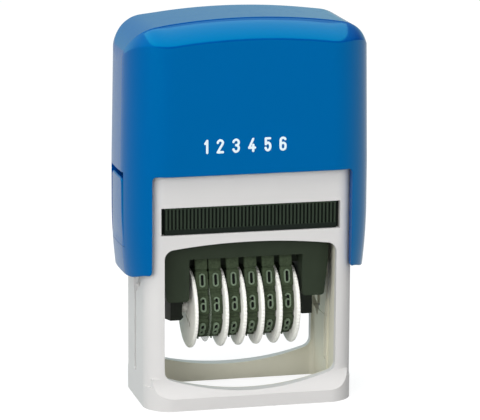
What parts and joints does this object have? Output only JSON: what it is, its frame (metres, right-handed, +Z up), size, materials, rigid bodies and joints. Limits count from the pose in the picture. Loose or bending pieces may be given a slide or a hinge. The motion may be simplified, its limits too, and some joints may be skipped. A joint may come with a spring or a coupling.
{
  "type": "self-inking number stamp",
  "caption": "Self-inking hand number stamp: a handle cap slides down a frame and turns over a carriage of number bands set by thumbwheels, from the ink pad to the paper.",
  "frame": {"origin": "middle of the footprint, on the table", "axes": "+X to the right and +Y to the back for someone facing the front face, +Z up along the press"},
  "size_m": [0.0562, 0.028, 0.087],
  "materials": {
    "frame_plastic": "satin",
    "cap_plastic": "gloss",
    "carriage_plastic": "satin",
    "bracket_plastic": "satin",
    "cartridge_plastic": "satin",
    "pad_felt": "matte",
    "wheel_plastic": "satin",
    "band_rubber": "matte",
    "separator_plastic": "satin",
    "steel": "satin"
  },
  "bodies": {
    "frame": {"frame": "frame_plastic", "ink_cartridge": "cartridge_plastic", "ink_pad": "pad_felt", "return_spring": "steel"},
    "cap": {"cap": "cap_plastic", "cap_core": "carriage_plastic", "button_pin_left": "steel", "button_pin_right": "steel", "pivot_pin_left": "steel", "pivot_pin_right": "steel"},
    "lock_button_left": {"lock_button_left": "cap_plastic"},
    "lock_button_right": {"lock_button_right": "cap_plastic"},
    "carriage": {"carriage": "carriage_plastic", "axle_bracket_left": "bracket_plastic", "axle_bracket_right": "bracket_plastic", "print_bridge": "carriage_plastic", "wheel_axle": "wheel_plastic", "band_separator": "separator_plastic", "number_band_1": "band_rubber", "number_band_2": "band_rubber", "number_band_3": "band_rubber", "number_band_4": "band_rubber", "number_band_5": "band_rubber", "number_band_6": "band_rubber"},
    "number_wheel_1": {"number_wheel_1": "wheel_plastic"},
    "number_wheel_2": {"number_wheel_2": "wheel_plastic"},
    "number_wheel_3": {"number_wheel_3": "wheel_plastic"},
    "number_wheel_4": {"number_wheel_4": "wheel_plastic"},
    "number_wheel_5": {"number_wheel_5": "wheel_plastic"},
    "number_wheel_6": {"number_wheel_6": "wheel_plastic"}
  },
  "joints": [
    {"name": "cap_press", "type": "slide", "parent": "frame", "child": "cap", "axis": [0, 0, -1], "range_m": [0, 0.0254], "stiffness_N_per_m": 350, "springref_m": -0.012, "deforming": ["return_spring"]},
    {"name": "carriage_turn", "type": "hinge", "parent": "cap", "child": "carriage", "pos_m": [0, 0, 0.0325], "axis": [1, 0, 0], "range_deg": [0, 180]},
    {"name": "lock_button_left_press", "type": "hinge", "parent": "cap", "child": "lock_button_left", "pos_m": [-0.0264, 0, 0.0354], "axis": [0, 1, 0], "range_deg": [0, 4], "stiffness_Nm_per_rad": 0.3},
    {"name": "lock_button_right_press", "type": "hinge", "parent": "cap", "child": "lock_button_right", "pos_m": [0.0264, 0, 0.0354], "axis": [0, -1, 0], "range_deg": [0, 4], "stiffness_Nm_per_rad": 0.3},
    {"name": "number_wheel_1_turn", "type": "hinge", "parent": "carriage", "child": "number_wheel_1", "pos_m": [0, 0, 0.0203], "axis": [1, 0, 0], "continuous": true},
    {"name": "number_wheel_2_turn", "type": "hinge", "parent": "carriage", "child": "number_wheel_2", "pos_m": [0, 0, 0.0203], "axis": [1, 0, 0], "continuous": true},
    {"name": "number_wheel_3_turn", "type": "hinge", "parent": "carriage", "child": "number_wheel_3", "pos_m": [0, 0, 0.0203], "axis": [1, 0, 0], "continuous": true},
    {"name": "number_wheel_4_turn", "type": "hinge", "parent": "carriage", "child": "number_wheel_4", "pos_m": [0, 0, 0.0203], "axis": [1, 0, 0], "continuous": true},
    {"name": "number_wheel_5_turn", "type": "hinge", "parent": "carriage", "child": "number_wheel_5", "pos_m": [0, 0, 0.0203], "axis": [1, 0, 0], "continuous": true},
    {"name": "number_wheel_6_turn", "type": "hinge", "parent": "carriage", "child": "number_wheel_6", "pos_m": [0, 0, 0.0203], "axis": [1, 0, 0], "continuous": true}
  ],
  "couplings": [
    {"joint": "carriage_turn", "follows": "cap_press", "rad_per_m": 123.68}
  ]
}
